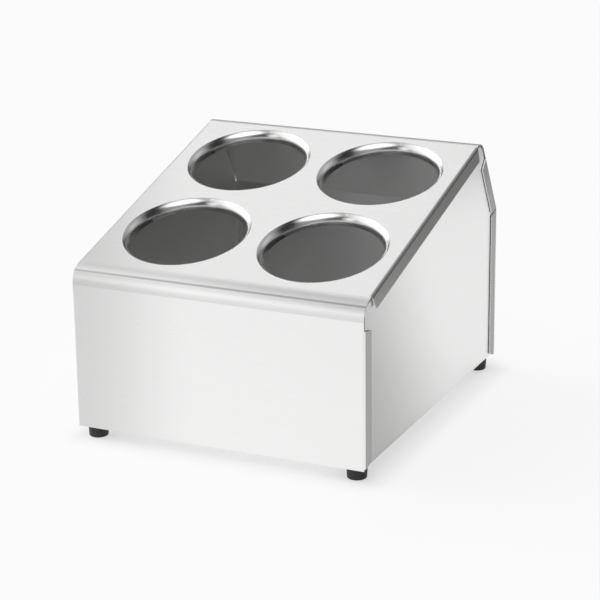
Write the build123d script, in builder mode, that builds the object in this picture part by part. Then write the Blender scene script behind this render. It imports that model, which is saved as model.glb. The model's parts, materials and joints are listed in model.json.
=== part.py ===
from build123d import *
import os
from math import asin, cos, radians, sin, tan

# Cutlery dispenser stand: a folded sheet-metal wedge with four plunged openings in its sloping top.
# The origin is on the floor below the middle of the stand, +Z is up and the front faces -Y.

# Openings for the cutlery cylinders, and the width of sheet left around and between them
opening_diameter = 94.2
opening_gap = 24.8
side_margin = 18.4
front_margin = 26.9
ridge_margin = 21.15

# Plunged lips: a short bend away from the sheet, a wide roll into the upright collar, and its depth
lip_bend_core = 0.6
lip_bend_turn = 25.0
lip_core = 7.0
collar_depth = 8.9

# Side view: height of the front, rise of the top from there to the ridge, drop from the ridge to the
# break in the rear, and how far the ridge lies ahead of the rear
front_rise = 131.0
top_rise = 69.0
rear_drop = 67.0
ridge_setback = 38.0

# Sheet, and the inside radii of its bends
sheet = 1.0
ridge_core = 12.0
break_core = 1.0

# Rounded nose between front and top: a round lower part and a flatter brow that meet in a crease
nose_core = 18.0
nose_turn = 36.0
brow_core = 31.0
brow_turn = 20.0
crease_core = 0.6

# Return flanges of the outer shell, which lap over the side panels; those of the top stand a few
# degrees open
flange_width = 12.4
top_flange = 11.6
flange_core = 1.5
top_opening = 8.0
flange_taper = 2.5
flange_corner = 0.8
flange_lift = 1.5
edge_inset = 1.0

# Bare lengths between a bend and the end of the flange beside it
front_relief = 6.9
top_relief = 0.7
ridge_relief = 2.2
rear_relief = 7.6
rear_taper = 4.7
mitre_gap = 1.2

# Side panels
lap_gap = 0.45
panel_gap = 0.3
panel_nose_radius = 9.0
panel_ridge_radius = 10.0
panel_core = 2.0
panel_flange = 24.0

# Base plate, with lips turned up against the front and the rear
base_lip = 12.0
base_core = 1.5
base_gap = 0.4

# Rubber feet
foot_height = 10.5
foot_inset = 12.0
foot_top_diameter = 16.6
foot_bottom_diameter = 15.4
foot_bottom_round = 1.2
foot_top_round = 0.4
foot_pad = 4.5

# Screws, washers and nuts of the feet
screw_diameter = 4.0
screw_length = 12.0
screw_hole_diameter = 4.4
head_diameter = 7.6
head_height = 2.6
head_round = 1.2
cross_length = 4.2
cross_width = 0.9
cross_depth = 1.4
washer_diameter = 9.0
washer_hole_diameter = 4.3
washer_thickness = 0.8
washer_play = 0.2
nut_flats = 7.0
nut_height = 3.2
nut_bore_diameter = 4.2
nut_chamfer = 0.3

# How far cuts run past what they cut
overrun = 2.0

# Worked out from the sizes above
opening_radius = opening_diameter / 2
opening_pitch = opening_diameter + opening_gap
opening_span = opening_diameter + opening_pitch
lip_bend_radius = lip_bend_core + sheet
lip_radius = lip_core + sheet
lip_roll_turn = 90 - lip_bend_turn
lip_reach = lip_bend_radius * sin(radians(lip_bend_turn)) + lip_radius * (1 - sin(radians(lip_bend_turn)))
lip_drop = lip_bend_radius * (1 - cos(radians(lip_bend_turn))) + lip_radius * cos(radians(lip_bend_turn))
half_width = opening_span / 2 + side_margin
top_length = front_margin + opening_span + ridge_margin
slope = asin(top_rise / top_length)
depth = top_length * cos(slope) + ridge_setback
front_y = -depth / 2
rear_y = depth / 2
ridge_rise = front_rise + top_rise
break_rise = ridge_rise - rear_drop
flange_bend = flange_core + sheet
panel_face = half_width - sheet - lap_gap
panel_margin = flange_bend + panel_gap
panel_bend = panel_core + sheet
base_bend = base_core + sheet
base_level = foot_height + sheet
base_half = panel_face - panel_bend - base_gap
foot_ceiling = foot_height - foot_pad
head_top = foot_ceiling - washer_thickness
nut_seat = base_level + sheet + washer_thickness

# Corners of the side view, as (y, z), and the faces from each of them to the next
front_foot = Vector(front_y, foot_height)
nose_corner = Vector(front_y, foot_height + front_rise)
ridge_corner = Vector(rear_y - ridge_setback, foot_height + ridge_rise)
break_corner = Vector(rear_y, foot_height + break_rise)
rear_foot = Vector(rear_y, foot_height)
front_face = nose_corner - front_foot
top_face = ridge_corner - nose_corner
upper_rear = break_corner - ridge_corner
lower_rear = rear_foot - break_corner


def inset_corners(inset):
    # Nose, ridge and break corners, moved inwards by the same distance from the faces beside them
    faces = [front_face, top_face, upper_rear, lower_rear]
    moved = []
    for corner, before, after in zip([nose_corner, ridge_corner, break_corner], faces, faces[1:]):
        one = before.normalized()
        two = after.normalized()
        inward = Vector(one.Y + two.Y, -one.X - two.X)
        moved.append(corner + inward * (inset / (1 + one.dot(two))))
    return moved


def bend_run(before, after, radius):
    # Distance from a corner to where a bend of that radius leaves the flat
    return radius * tan(radians(before.get_angle(after)) / 2)


def brow_size(inset):
    # How far the brow reaches along the slope, and how far it falls below it
    radius = brow_core + sheet - inset
    return radius * sin(radians(brow_turn)), radius * (1 - cos(radians(brow_turn)))


def nose_size(inset):
    # How far the nose rises up the front, and how far it leans back
    radius = nose_core + sheet - inset
    return radius * sin(radians(nose_turn)), radius * (1 - cos(radians(nose_turn)))


def brow_start(inset):
    # Distance up the slope from the front corner to where the brow leaves the flat top
    reach, fall = brow_size(inset)
    lean = nose_size(inset)[1]
    return (lean - fall * sin(slope)) / cos(slope) + reach


def nose_start(inset):
    # Height at which the nose leaves the front
    reach, fall = brow_size(inset)
    rise = nose_size(inset)[0]
    crease = (brow_start(inset) - reach) * sin(slope) - fall * cos(slope)
    return inset_corners(inset)[0].Y + crease - rise


def shell_section(inset):
    # Side view of the outer shell, that far inside its outer face and closed along the foot
    growth = sheet - inset
    brow_angle = slope + radians(brow_turn)
    nose_point, ridge_point, break_point = inset_corners(inset)
    with BuildLine() as edge:
        front = Line((nose_point.X, foot_height), (nose_point.X, nose_start(inset)))
        nose = JernArc(front @ 1, front % 1, nose_core + growth, -nose_turn)
        brow = JernArc(nose @ 1, (cos(brow_angle), sin(brow_angle)), brow_core + growth, -brow_turn)
        back = FilletPolyline(
            brow @ 1,
            ridge_point,
            break_point,
            (break_point.X, foot_height),
            radius=[ridge_core + growth, break_core + growth],
        )
        Line(back @ 1, front @ 0)
    section = make_face(edge.edges())
    crease = section.vertices().sort_by_distance(nose @ 1)[0]
    fillet(crease, crease_core + growth)


def flange_shape(width, start, end, start_taper, end_taper):
    # Side view of a flange, with x along the fold and y outwards from the stand
    with BuildLine() as edge:
        Polyline(
            (start, overrun),
            (start, 0),
            (start + start_taper, -width),
            (end - end_taper, -width),
            (end, 0),
            (end, overrun),
            close=True,
        )
    make_face(edge.edges())


# Flanges: the corner and face that each starts from, the angle of its fold, its width, where it starts
# and ends along that face, and how far its free edge draws in at either end
ridge_run = bend_run(top_face, upper_rear, ridge_core + sheet)
mitre_run = bend_run(upper_rear, lower_rear, break_core + sheet) + mitre_gap / 2
mitre_taper = bend_run(upper_rear, lower_rear, flange_width)
front_end = nose_start(0) - foot_height - front_relief
top_start = brow_start(0) + top_relief
top_end = top_length - ridge_run - ridge_relief
rear_start = ridge_run + rear_relief
rear_end = upper_rear.length - mitre_run
foot_end = lower_rear.length - flange_lift
top_fold = 90 - top_opening
flange_places = [
    (front_foot, front_face, 90, flange_width, flange_lift, front_end, flange_taper, flange_taper),
    (nose_corner, top_face, top_fold, top_flange, top_start, top_end, flange_taper, flange_taper),
    (ridge_corner, upper_rear, 90, flange_width, rear_start, rear_end, rear_taper, mitre_taper),
    (break_corner, lower_rear, 90, flange_width, mitre_run, foot_end, mitre_taper, flange_taper),
]

# Right-hand flanges, each a folded angle trimmed to its side view, and the room that their folds
# take out of the flat sheet
flanges = []
flange_rooms = []
for corner, face, fold, width, start, end, start_taper, end_taper in flange_places:
    along = face.normalized()
    origin = (half_width, corner.X, corner.Y)
    side = Plane(origin, x_dir=(0, along.X, along.Y), z_dir=(1, 0, 0))
    across = Plane(origin, x_dir=(1, 0, 0), z_dir=(0, along.X, along.Y))

    with BuildPart() as flange:
        with BuildSketch(across):
            with BuildLine():
                outside = JernArc((-flange_bend, 0), (1, 0), flange_bend, fold)
                heading = outside % 1
                leg_end = outside @ 1 + heading * (width + overrun)
                inward = heading.rotate(Axis.Z, 90) * sheet
                leg = Polyline(outside @ 1, leg_end, leg_end + inward, outside @ 1 + inward)
                inside = JernArc(leg @ 1, -heading, flange_core, -fold)
                Line(inside @ 1, outside @ 0)
            make_face()
        extrude(amount=face.length)
        with BuildSketch(side):
            flange_shape(width, start, end, start_taper, end_taper)
        extrude(amount=flange_bend + overrun, both=True, mode=Mode.INTERSECT)
        fillet(flange.edges().filter_by(Axis.X), flange_corner)
    flanges.append(flange.part)

    with BuildPart() as flange_room:
        with BuildSketch(side):
            flange_shape(width, start, end, start_taper, end_taper)
        extrude(amount=-flange_bend)
    flange_rooms.append(flange_room.part)

# Plunged lip of one opening, about the Z axis with the top of the sheet at z = 0
with BuildPart() as lip:
    with BuildSketch(Plane.XZ):
        with BuildLine():
            bend = JernArc((opening_radius + lip_reach, 0), (-1, 0), lip_bend_radius, lip_bend_turn)
            roll = JernArc(bend @ 1, bend % 1, lip_radius, lip_roll_turn)
            wall = Polyline(
                roll @ 1,
                (opening_radius, -collar_depth),
                (opening_radius + sheet, -collar_depth),
                (opening_radius + sheet, -lip_drop),
            )
            under_roll = JernArc(wall @ 1, (0, 1), lip_core, -lip_roll_turn)
            under_bend = JernArc(under_roll @ 1, under_roll % 1, lip_bend_core, -lip_bend_turn)
            Line(under_bend @ 1, bend @ 0)
        make_face()
    revolve(axis=Axis.Z)

# Outer shell: front, nose, top, ridge and both rear faces from one sheet
top_plane = Plane(
    (0, nose_corner.X, nose_corner.Y),
    x_dir=(1, 0, 0),
    z_dir=(0, -sin(slope), cos(slope)),
)
opening_plane = top_plane.move(Location((0, front_margin + opening_span / 2, 0)))
with BuildPart() as outer_shell:
    with BuildSketch(Plane.YZ):
        shell_section(0)
    extrude(amount=half_width - edge_inset, both=True)
    with BuildSketch(Plane.YZ):
        shell_section(sheet)
    extrude(amount=half_width, both=True, mode=Mode.SUBTRACT)
    for flange_room in flange_rooms:
        add(flange_room, mode=Mode.SUBTRACT)
        mirror(flange_room, about=Plane.YZ, mode=Mode.SUBTRACT)
    for flange in flanges:
        add(flange)
        mirror(flange, about=Plane.YZ)
    with BuildSketch(opening_plane):
        with GridLocations(opening_pitch, opening_pitch, 2, 2):
            Circle(opening_radius + lip_reach)
    extrude(amount=sheet + overrun, both=True, mode=Mode.SUBTRACT)
    with Locations(opening_plane):
        with GridLocations(opening_pitch, opening_pitch, 2, 2):
            add(lip.part)
outer_shell.part.label = "outer_shell"

# Feet stand under the corners of the base plate
foot_x = half_width - foot_inset
foot_y = depth / 2 - foot_inset
foot_places = [(x, y) for y in (-foot_y, foot_y) for x in (-foot_x, foot_x)]
foot_names = ["front_left", "front_right", "rear_left", "rear_right"]

# Side panels: a plate inside the flanges, its lower edge folded inwards to carry the feet
panel_foot_y = rear_y - panel_margin
panel_nose, panel_ridge, panel_break = inset_corners(panel_margin)
with BuildPart() as right_side_panel:
    with BuildSketch(Plane.YZ.offset(panel_face)) as panel_side:
        with BuildLine():
            Polyline(
                (-panel_foot_y, foot_height),
                panel_nose,
                panel_ridge,
                panel_break,
                (panel_foot_y, foot_height),
                close=True,
            )
        make_face()
        for point, radius in ((panel_nose, panel_nose_radius), (panel_ridge, panel_ridge_radius)):
            fillet(panel_side.vertices().sort_by_distance(point)[0], radius)
    extrude(amount=-sheet)
    with BuildSketch(Plane.XY.offset(foot_height)):
        with Locations((panel_face, 0)):
            Rectangle(panel_flange, 2 * panel_foot_y, align=(Align.MAX, Align.CENTER))
    extrude(amount=sheet)
    long_edges = right_side_panel.edges().filter_by(Axis.Y)
    fillet(long_edges.sort_by_distance((panel_face - sheet, 0, foot_height + sheet))[0], panel_core)
    long_edges = right_side_panel.edges().filter_by(Axis.Y)
    fillet(long_edges.sort_by_distance((panel_face, 0, foot_height))[0], panel_bend)
    with Locations(*[(foot_x, y, foot_height) for y in (-foot_y, foot_y)]):
        Hole(screw_hole_diameter / 2)
right_side_panel.part.label = "right_side_panel"

with BuildPart() as left_side_panel:
    mirror(right_side_panel.part, about=Plane.YZ)
left_side_panel.part.label = "left_side_panel"

# Base plate: lies on the folded edges of the side panels between the front and the rear
base_length = depth - 2 * sheet
with BuildPart() as base_plate:
    with BuildSketch(Plane.YZ) as base_section:
        with Locations((0, base_level)):
            Rectangle(base_length, base_lip, align=(Align.CENTER, Align.MIN))
        fillet(base_section.vertices().group_by(Axis.Y)[0], base_bend)
    extrude(amount=base_half, both=True)
    with BuildSketch(Plane.YZ) as base_hollow:
        with Locations((0, base_level + sheet)):
            Rectangle(base_length - 2 * sheet, base_lip, align=(Align.CENTER, Align.MIN))
        fillet(base_hollow.vertices().group_by(Axis.Y)[0], base_core)
    extrude(amount=base_half + overrun, both=True, mode=Mode.SUBTRACT)
    with Locations(*[(x, y, base_level + sheet) for x, y in foot_places]):
        Hole(screw_hole_diameter / 2)
base_plate.part.label = "base_plate"

# One rubber foot, hollow underneath for the washer and the screw's head
hollow_radius = washer_diameter / 2 + washer_play
with BuildPart() as foot_form:
    with BuildSketch(Plane.XZ):
        with BuildLine():
            Polyline(
                (screw_hole_diameter / 2, foot_height),
                (foot_top_diameter / 2, foot_height),
                (foot_bottom_diameter / 2, 0),
                (hollow_radius, 0),
                (hollow_radius, foot_ceiling),
                (screw_hole_diameter / 2, foot_ceiling),
                close=True,
            )
        make_face()
    revolve(axis=Axis.Z)
    for level, rounding in ((0, foot_bottom_round), (-1, foot_top_round)):
        rims = foot_form.edges().filter_by(GeomType.CIRCLE).group_by(Axis.Z)[level]
        fillet(rims.sort_by(SortBy.RADIUS)[-1], rounding)

feet = []
for name, place in zip(foot_names, foot_places):
    with BuildPart() as foot:
        with Locations(place):
            add(foot_form.part)
    foot.part.label = "foot_" + name
    feet.append(foot.part)

# One screw, standing on its head, with a cross recess
with BuildPart() as screw:
    with BuildSketch(Plane.XY.offset(head_top - head_height)):
        Circle(head_diameter / 2)
    extrude(amount=head_height)
    fillet(screw.edges().filter_by(GeomType.CIRCLE).group_by(Axis.Z)[0], head_round)
    with BuildSketch(Plane.XY.offset(head_top)):
        Circle(screw_diameter / 2)
    extrude(amount=screw_length)
    with BuildSketch(Plane.XY.offset(head_top - head_height)):
        Rectangle(cross_length, cross_width)
        Rectangle(cross_width, cross_length)
    extrude(amount=cross_depth, mode=Mode.SUBTRACT)

# One washer, its lower face at z = 0
with BuildPart() as washer:
    with BuildSketch():
        Circle(washer_diameter / 2)
        Circle(washer_hole_diameter / 2, mode=Mode.SUBTRACT)
    extrude(amount=washer_thickness)

# One hexagon nut on its washer
with BuildPart() as nut:
    with BuildSketch(Plane.XY.offset(nut_seat)):
        RegularPolygon(nut_flats / 2, 6, major_radius=False)
        Circle(nut_bore_diameter / 2, mode=Mode.SUBTRACT)
    extrude(amount=nut_height)
    chamfer(nut.edges().filter_by(GeomType.CIRCLE).group_by(Axis.Z)[-1], nut_chamfer)

# The same fasteners at each foot
with BuildPart() as foot_screws:
    with Locations(*foot_places):
        add(screw.part)
foot_screws.part.label = "foot_screws"

with BuildPart() as foot_washers:
    with Locations(*[(x, y, head_top) for x, y in foot_places]):
        add(washer.part)
foot_washers.part.label = "foot_washers"

with BuildPart() as nut_washers:
    with Locations(*[(x, y, base_level + sheet) for x, y in foot_places]):
        add(washer.part)
nut_washers.part.label = "nut_washers"

with BuildPart() as foot_nuts:
    with Locations(*foot_places):
        add(nut.part)
foot_nuts.part.label = "foot_nuts"

os.makedirs("parts", exist_ok=True)
pieces = [outer_shell.part, left_side_panel.part, right_side_panel.part, base_plate.part, *feet]
pieces += [foot_screws.part, foot_washers.part, nut_washers.part, foot_nuts.part]
for piece in pieces:
    export_step(piece, f"parts/{piece.label}.step")
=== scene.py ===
import bpy
import bmesh
import json
import math
from mathutils import Matrix, Quaternion, Vector

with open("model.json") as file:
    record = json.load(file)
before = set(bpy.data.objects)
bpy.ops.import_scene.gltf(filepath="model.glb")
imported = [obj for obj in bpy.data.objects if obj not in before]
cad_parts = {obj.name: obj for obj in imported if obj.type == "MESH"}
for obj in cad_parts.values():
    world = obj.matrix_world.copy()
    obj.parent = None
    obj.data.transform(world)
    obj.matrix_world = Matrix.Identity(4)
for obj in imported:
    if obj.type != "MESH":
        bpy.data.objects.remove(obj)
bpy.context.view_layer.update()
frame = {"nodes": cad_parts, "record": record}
nodes = frame["nodes"]
print("frame loaded:", ", ".join(sorted(nodes)))

# camera at the photographed angle
photoCamera = {
    "place": (0.701376, -1.507565, 0.628437),
    "aim": (0.041650, -0.078520, 0.116953),
    "rollDegrees": -0.687,
    "lens": 126.92,
    "sensor": 36.0,
    "clip": (0.05, 50.0),
}


def addCamera(look):
    data = bpy.data.cameras.new("photoCamera")
    data.sensor_fit = "HORIZONTAL"
    data.sensor_width = look["sensor"]
    data.lens = look["lens"]
    data.clip_start, data.clip_end = look["clip"]
    camera = bpy.data.objects.new("photoCamera", data)
    bpy.context.scene.collection.objects.link(camera)
    place = Vector(look["place"])
    heading = (Vector(look["aim"]) - place).to_track_quat("-Z", "Y")
    roll = Quaternion((0.0, 0.0, 1.0), math.radians(look["rollDegrees"]))
    camera.matrix_world = Matrix.Translation(place) @ (heading @ roll).to_matrix().to_4x4()
    bpy.context.scene.camera = camera


addCamera(photoCamera)
print("camera set")


# short ways to place and join shader nodes
def put(tree, kind, values=None, **settings):
    node = tree.nodes.new(kind)
    for name, value in settings.items():
        setattr(node, name, value)
    for socket, value in (values or {}).items():
        if isinstance(value, bpy.types.NodeSocket):
            tree.links.new(value, node.inputs[socket])
        else:
            node.inputs[socket].default_value = value
    return node


def sums(tree, operation, first, second=0.0, third=0.0):
    values = {0: first, 1: second, 2: third}
    return put(tree, "ShaderNodeMath", values, operation=operation).outputs[0]


def vectors(tree, operation, first, second):
    node = put(tree, "ShaderNodeVectorMath", {0: first, 1: second}, operation=operation)
    return node.outputs["Value"] if operation == "DOT_PRODUCT" else node.outputs["Vector"]


def split(tree, vector):
    return put(tree, "ShaderNodeSeparateXYZ", {0: vector}).outputs


def distance(tree, first, second):
    squares = [sums(tree, "MULTIPLY", one, one) for one in (first, second)]
    return sums(tree, "SQRT", sums(tree, "ADD", *squares))


def smoothMask(tree, value, low, high):
    node = put(tree, "ShaderNodeMapRange", {"Value": value, "From Min": low, "From Max": high},
               interpolation_type="SMOOTHSTEP")
    return node.outputs["Result"]


def mixColour(tree, mask, first, second):
    pair = [(*one, 1.0) if isinstance(one, tuple) else one for one in (first, second)]
    return put(tree, "ShaderNodeMix", {0: mask, 6: pair[0], 7: pair[1]}, data_type="RGBA").outputs[2]


def mixValue(tree, mask, first, second):
    return put(tree, "ShaderNodeMix", {0: mask, 2: first, 3: second}, data_type="FLOAT").outputs[0]


def mixVector(tree, mask, first, second):
    return put(tree, "ShaderNodeMix", {0: mask, 4: first, 5: second}, data_type="VECTOR").outputs[1]


def newMaterial(name):
    material = bpy.data.materials.new(name)
    material.use_nodes = True
    return material, material.node_tree, material.node_tree.nodes["Principled BSDF"]


# brushed grain: fine scratches and broad streaks that run along the first axis
brush = {
    "inputs": ("Fine Along", "Fine Across", "Broad Along", "Broad Across"),
    "detail": {"Fine": 3.0, "Broad": 2.0},
    "noiseRoughness": 0.55,
    "streakShare": 0.5,
}


def makeBrushGrain(look):
    group = bpy.data.node_groups.new("brushGrain", "ShaderNodeTree")
    face = group.interface
    face.new_socket("Vector", in_out="INPUT", socket_type="NodeSocketVector")
    for name in look["inputs"]:
        face.new_socket(name, in_out="INPUT", socket_type="NodeSocketFloat")
    for name in look["detail"]:
        face.new_socket(name, in_out="OUTPUT", socket_type="NodeSocketFloat")
    start = put(group, "NodeGroupInput")
    end = put(group, "NodeGroupOutput")
    for name, detail in look["detail"].items():
        along, across = start.outputs[name + " Along"], start.outputs[name + " Across"]
        stretch = put(group, "ShaderNodeCombineXYZ", {0: along, 1: across, 2: across})
        scaled = vectors(group, "MULTIPLY", start.outputs["Vector"], stretch.outputs[0])
        noise = put(group, "ShaderNodeTexNoise", {"Vector": scaled, "Scale": 1.0, "Detail": detail,
                                                  "Roughness": look["noiseRoughness"]})
        group.links.new(noise.outputs["Fac"], end.inputs[name])
    return group


brushGrain = makeBrushGrain(brush)
print("grain group made")

# brushed stainless finishes; turn puts the grain on the first axis, stretch is the way highlights smear,
# paintedShadeWay is the way the tone goes from a painted shade to full: a painted reflection that darkens
# one end of each sheet
shellSteel = {
    "light": (0.975, 0.975, 0.97),
    "dark": (0.915, 0.915, 0.91),
    "rough": 0.28,
    "roughSpan": 0.05,
    "anisotropy": 0.8,
    "turn": (0.0, 0.0, 0.0),
    "stretch": None,
    "inside": (0.95, 0.95, 0.945),
    "insideRough": 0.45,
    "grain": (40.0, 3200.0, 5.0, 260.0),
    "bump": 0.000002,
    # painted reflection: the shell darkens towards the left of the front
    "paintedShadeWay": (1.0, 0.5, 0.0),
    "paintedShadeEdges": (-0.2, -0.085),
    "shade": (0.72, 0.72, 0.715),
    # flange is a painted shade: the side flanges and the bends into them are darker than the rest of the
    # same sheet, a painted reflection
    "flange": (0.37, 0.37, 0.365),
    "openings": True,
}
panelSteel = dict(
    shellSteel,
    light=(0.9, 0.9, 0.895),
    dark=(0.83, 0.83, 0.825),
    rough=0.22,
    anisotropy=0.6,
    turn=(0.0, 0.0, math.radians(90.0)),
    stretch=(0.0, 1.0, 0.0),
    # the panels' inside tone is a painted shade, darker than the shell's inside
    inside=(0.55, 0.55, 0.545),
    insideRough=0.35,
    # painted reflection: the panels darken towards the lower front
    paintedShadeWay=(0.0, 1.0, 0.6),
    paintedShadeEdges=(-0.12, 0.085),
    shade=(0.44, 0.44, 0.435),
    openings=False,
)
baseSteel = dict(shellSteel, rough=0.45, openings=False)
fastenerSteel = dict(
    shellSteel,
    light=(0.72, 0.72, 0.71),
    dark=(0.6, 0.6, 0.6),
    rough=0.3,
    anisotropy=0.0,
    inside=(0.66, 0.66, 0.66),
    insideRough=0.3,
    openings=False,
)

# faces that look back towards the middle of the stand are its inside
hollow = {"centre": (0.0, 0.0, 0.10), "edge": 0.002}


def outsideMask(tree, coords, normal):
    outwards = vectors(tree, "SUBTRACT", coords, hollow["centre"])
    facing = vectors(tree, "DOT_PRODUCT", outwards, normal)
    return smoothMask(tree, facing, -hollow["edge"], hollow["edge"])


# the plunged lips are smoother than the flat sheet around them
openingGrid = {
    "middle": (0.0, -0.0162, 0.1768),
    "slope": math.radians(15.315),
    "pitch": 0.119,
    "axis": (0.0, -0.2641, 0.9645),
    "lipOuter": 0.0527,
    "lipInner": 0.0521,
    "lipDepth": -0.0094,
    "lipRough": 0.22,
    "lipTone": (0.8, 0.8, 0.795),
}


def lipMask(tree, coords):
    grid = openingGrid
    flat = put(tree, "ShaderNodeMapping", {"Vector": coords, "Location": grid["middle"],
                                           "Rotation": (grid["slope"], 0.0, 0.0)}, vector_type="TEXTURE")
    parts = split(tree, flat.outputs[0])
    away = [sums(tree, "SUBTRACT", sums(tree, "ABSOLUTE", parts[side]), grid["pitch"] / 2) for side in "XY"]
    near = smoothMask(tree, distance(tree, *away), grid["lipOuter"], grid["lipInner"])
    high = sums(tree, "GREATER_THAN", parts["Z"], grid["lipDepth"])
    return sums(tree, "MULTIPLY", near, high)


# flanges face sideways, the bends from the top into them face sideways and up; both masks carry a painted
# shade
sideLook = {"flange": 0.9, "bendFrom": 0.3, "bendTo": 0.6, "bendRise": 0.15}


def flangeFaces(tree, normal):
    sideways = sums(tree, "ABSOLUTE", split(tree, normal)["X"])
    return sums(tree, "GREATER_THAN", sideways, sideLook["flange"])


def bendFaces(tree, normal):
    parts = split(tree, normal)
    sideways = sums(tree, "ABSOLUTE", parts["X"])
    bent = smoothMask(tree, sideways, sideLook["bendFrom"], sideLook["bendTo"])
    rising = sums(tree, "GREATER_THAN", parts["Z"], sideLook["bendRise"])
    return sums(tree, "MULTIPLY", bent, rising)


# painted shade: a thin dark line along the fold between the top and the rounded nose, and a soft dark band
# above the lower end of the nose
paintedFoldShade = {
    "y": -0.14136,
    "z": 0.14049,
    "core": 0.0003,
    "edge": 0.0013,
    "tone": (0.5, 0.5, 0.5),
    "noseEnd": 0.1290,
    "noseFade": 0.1345,
    "noseStrength": 0.3,
}


def paintedFoldShadeMask(tree, coords):
    parts = split(tree, coords)
    away = [sums(tree, "SUBTRACT", parts[side], paintedFoldShade[side.lower()]) for side in "YZ"]
    line = smoothMask(tree, distance(tree, *away), paintedFoldShade["edge"], paintedFoldShade["core"])
    front = sums(tree, "LESS_THAN", parts["Y"], paintedFoldShade["y"])
    above = sums(tree, "GREATER_THAN", parts["Z"], paintedFoldShade["noseEnd"])
    fading = smoothMask(tree, parts["Z"], paintedFoldShade["noseFade"], paintedFoldShade["noseEnd"])
    band = sums(tree, "MULTIPLY", sums(tree, "MULTIPLY", front, above), fading)
    return sums(tree, "MAXIMUM", line, sums(tree, "MULTIPLY", band, paintedFoldShade["noseStrength"]))


# highlights smear across the grain of the shell, and from front to back on its flanges
def smearWay(tree, normal, look):
    if look["stretch"]:
        return put(tree, "ShaderNodeCombineXYZ", dict(enumerate(look["stretch"]))).outputs[0]
    across = vectors(tree, "CROSS_PRODUCT", normal, (1.0, 0.0, 0.0))
    return mixVector(tree, flangeFaces(tree, normal), across, (0.0, 1.0, 0.0))


def placeGrain(tree, coords, look):
    turned = put(tree, "ShaderNodeMapping", {"Vector": coords, "Rotation": look["turn"]}).outputs[0]
    grain = put(tree, "ShaderNodeGroup", node_tree=brushGrain)
    tree.links.new(turned, grain.inputs["Vector"])
    for socket, scale in zip(brush["inputs"], look["grain"]):
        grain.inputs[socket].default_value = scale
    return grain.outputs["Fine"], grain.outputs["Broad"]


def steelFinish(name, look):
    material, tree, metal = newMaterial(name)
    metal.inputs["Metallic"].default_value = 1.0
    metal.inputs["Anisotropic"].default_value = look["anisotropy"]
    coords = put(tree, "ShaderNodeTexCoord").outputs["Object"]
    normal = put(tree, "ShaderNodeNewGeometry").outputs["Normal"]
    fine, broad = placeGrain(tree, coords, look)
    streak = sums(tree, "MULTIPLY", sums(tree, "ADD", fine, broad), brush["streakShare"])
    tone = mixColour(tree, streak, look["dark"], look["light"])
    # painted shade: the tone goes from the painted shade to full along paintedShadeWay, a painted
    # reflection
    along = vectors(tree, "DOT_PRODUCT", coords, look["paintedShadeWay"])
    tone = mixColour(tree, smoothMask(tree, along, *look["paintedShadeEdges"]), look["shade"], tone)
    smoothest = look["rough"] - look["roughSpan"] / 2
    rough = sums(tree, "MULTIPLY_ADD", streak, look["roughSpan"], smoothest)
    outside = outsideMask(tree, coords, normal)
    way = smearWay(tree, normal, look)
    if look["openings"]:
        lip = lipMask(tree, coords)
        outside = sums(tree, "MAXIMUM", outside, lip)
        rough = mixValue(tree, lip, rough, openingGrid["lipRough"])
        way = mixVector(tree, lip, way, openingGrid["axis"])
        # painted shade: the bends take the dark flange tone
        tone = mixColour(tree, bendFaces(tree, normal), tone, look["flange"])
        tone = mixColour(tree, lip, tone, openingGrid["lipTone"])
        # painted shade: a dark line along the fold and a soft dark band above the nose end
        tone = mixColour(tree, paintedFoldShadeMask(tree, coords), tone, paintedFoldShade["tone"])
        # painted shade: the side flanges take the dark flange tone
        tone = mixColour(tree, flangeFaces(tree, normal), tone, look["flange"])
    tree.links.new(mixColour(tree, outside, look["inside"], tone), metal.inputs["Base Color"])
    tree.links.new(mixValue(tree, outside, look["insideRough"], rough), metal.inputs["Roughness"])
    bump = put(tree, "ShaderNodeBump", {"Height": fine, "Distance": look["bump"]})
    tree.links.new(bump.outputs[0], metal.inputs["Normal"])
    tree.links.new(way, metal.inputs["Tangent"])
    return material


# black rubber of the feet
rubberFoot = {
    "colour": (0.022, 0.022, 0.023),
    "pale": (0.034, 0.034, 0.035),
    "rough": 0.55,
    "roughSpan": 0.15,
    "grain": 900.0,
    "detail": 3.0,
    "bump": 0.00004,
}


def rubberFinish(name, look):
    material, tree, rubber = newMaterial(name)
    coords = put(tree, "ShaderNodeTexCoord").outputs["Object"]
    noise = put(tree, "ShaderNodeTexNoise", {"Vector": coords, "Scale": look["grain"],
                                             "Detail": look["detail"]})
    fleck = noise.outputs["Fac"]
    rough = sums(tree, "MULTIPLY_ADD", fleck, look["roughSpan"], look["rough"])
    tree.links.new(mixColour(tree, fleck, look["colour"], look["pale"]), rubber.inputs["Base Color"])
    tree.links.new(rough, rubber.inputs["Roughness"])
    bump = put(tree, "ShaderNodeBump", {"Height": fleck, "Distance": look["bump"]})
    tree.links.new(bump.outputs[0], rubber.inputs["Normal"])
    return material


finishes = {
    "shell_steel": steelFinish("brushedShell", shellSteel),
    "panel_steel": steelFinish("brushedPanel", panelSteel),
    "base_steel": steelFinish("plainBase", baseSteel),
    "foot_rubber": rubberFinish("blackRubber", rubberFoot),
    "fastener_steel": steelFinish("plainFastener", fastenerSteel),
}
for entry in frame["record"]["subparts"]:
    for slot in nodes[entry["node"]].material_slots:
        slot.material = finishes[entry["material_slot"]]
print("finishes made:", len(finishes))

# plain pale floor that greys off to the right, a painted shade for the flanges to mirror; it glows less
# close to the stand, so the shadow shows
floorLook = {
    "radius": 4.0,
    "segments": 96,
    "colour": 0.95,
    "side": 0.62,
    "across": (0.907, 0.42, 0.0),
    "keep": 0.62,
    "fade": 0.72,
    "stand": (0.118, 0.138),
    "clear": 0.03,
    "under": 0.55,
    "glow": 0.85,
    "glowNear": 1.0,
    "glowRight": 0.45,
}


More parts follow.
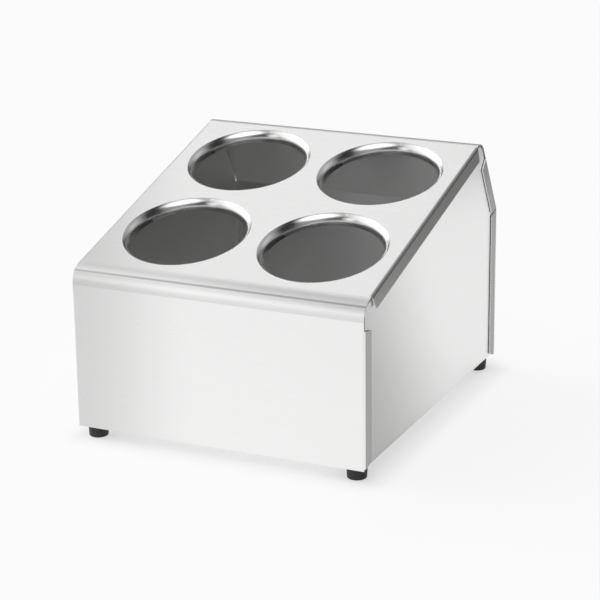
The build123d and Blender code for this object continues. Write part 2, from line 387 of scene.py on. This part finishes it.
def floorGlow(tree, coords, look):
    rays = put(tree, "ShaderNodeLightPath").outputs
    mirrored = sums(tree, "MAXIMUM", rays["Is Glossy Ray"], rays["Is Transmission Ray"])
    seen = sums(tree, "MAXIMUM", rays["Is Camera Ray"], mirrored)
    parts = split(tree, coords)
    past = []
    for side, half in zip("XY", look["stand"]):
        beyond = sums(tree, "SUBTRACT", sums(tree, "ABSOLUTE", parts[side]), half)
        past.append(sums(tree, "MAXIMUM", beyond, 0.0))
    clear = smoothMask(tree, distance(tree, *past), 0.0, look["clear"])
    return sums(tree, "MULTIPLY", seen, mixValue(tree, clear, look["under"], look["glow"]))


def floorFinish(name, look):
    material, tree, paint = newMaterial(name)
    coords = put(tree, "ShaderNodeTexCoord").outputs["Object"]
    aside = vectors(tree, "DOT_PRODUCT", coords, look["across"])
    # painted shade: the floor's colour and glow grey off to the right
    right = smoothMask(tree, aside, look["keep"], look["fade"])
    tree.links.new(mixValue(tree, right, look["colour"], look["side"]), paint.inputs["Base Color"])
    paint.inputs["Roughness"].default_value = 1.0
    paint.inputs["Specular IOR Level"].default_value = 0.0
    level = mixValue(tree, right, look["glowNear"], look["glowRight"])
    glow = put(tree, "ShaderNodeEmission", {"Color": level})
    share = floorGlow(tree, coords, look)
    blend = put(tree, "ShaderNodeMixShader", {0: share, 1: paint.outputs[0], 2: glow.outputs[0]})
    tree.links.new(blend.outputs[0], tree.nodes["Material Output"].inputs["Surface"])
    return material


def addFloor(look):
    mesh = bpy.data.meshes.new("floor")
    shape = bmesh.new()
    bmesh.ops.create_circle(shape, cap_ends=True, segments=look["segments"], radius=look["radius"])
    shape.to_mesh(mesh)
    shape.free()
    floor = bpy.data.objects.new("floor", mesh)
    bpy.context.scene.collection.objects.link(floor)
    mesh.materials.append(floorFinish("paleFloor", look))


# soft white patches of the studio: turn from the back of the view, rise, inner and outer angle, level
studio = {
    "back": 115.0,
    "room": 0.03,
    "white": (1.0, 1.0, 1.0, 1.0),
    "patches": {
        "frontLeftLow": (-130.0, 4.0, 3.0, 13.0, 0.45),
        "frontLeft": (-129.0, 16.0, 3.0, 14.0, 1.05),
        "frontLeftHigh": (-120.0, 46.0, 3.0, 14.0, 0.15),
        "leftHigh": (-104.0, 60.0, 3.0, 14.0, 0.1),
        "overhead": (-60.0, 68.0, 5.0, 20.0, 0.55),
        "backHigh": (-6.0, 44.0, 4.0, 16.0, 1.2),
        "back": (-2.0, 30.0, 4.0, 15.0, 0.15),
        "left": (-84.0, 28.0, 12.0, 46.0, 1.2),
        "backLeft": (-53.0, 32.0, 8.0, 32.0, 1.9),
        "backRight": (50.0, 48.0, 8.0, 34.0, 0.4),
        "right": (78.0, 27.0, 8.0, 30.0, 0.35),
        "front": (-172.0, 55.0, 8.0, 30.0, 2.3),
        "frontLow": (165.0, 17.0, 8.0, 34.0, 0.25),
    },
}


def skyWay(look, turn, rise):
    heading = math.radians(look["back"] - turn)
    flat = math.cos(math.radians(rise))
    return (math.cos(heading) * flat, math.sin(heading) * flat, math.sin(math.radians(rise)))


def addSky(look):
    world = bpy.data.worlds.new("studio")
    bpy.context.scene.world = world
    world.use_nodes = True
    tree = world.node_tree
    way = put(tree, "ShaderNodeTexCoord").outputs["Generated"]
    level = look["room"]
    for turn, rise, inner, outer, strength in look["patches"].values():
        edges = [math.cos(math.radians(side)) for side in (outer, inner)]
        towards = vectors(tree, "DOT_PRODUCT", way, skyWay(look, turn, rise))
        level = sums(tree, "MULTIPLY_ADD", smoothMask(tree, towards, *edges), strength, level)
    background = tree.nodes["Background"]
    background.inputs["Color"].default_value = look["white"]
    tree.links.new(level, background.inputs["Strength"])


addFloor(floorLook)
addSky(studio)
bpy.context.scene.view_settings.view_transform = "Standard"
print("studio lit")
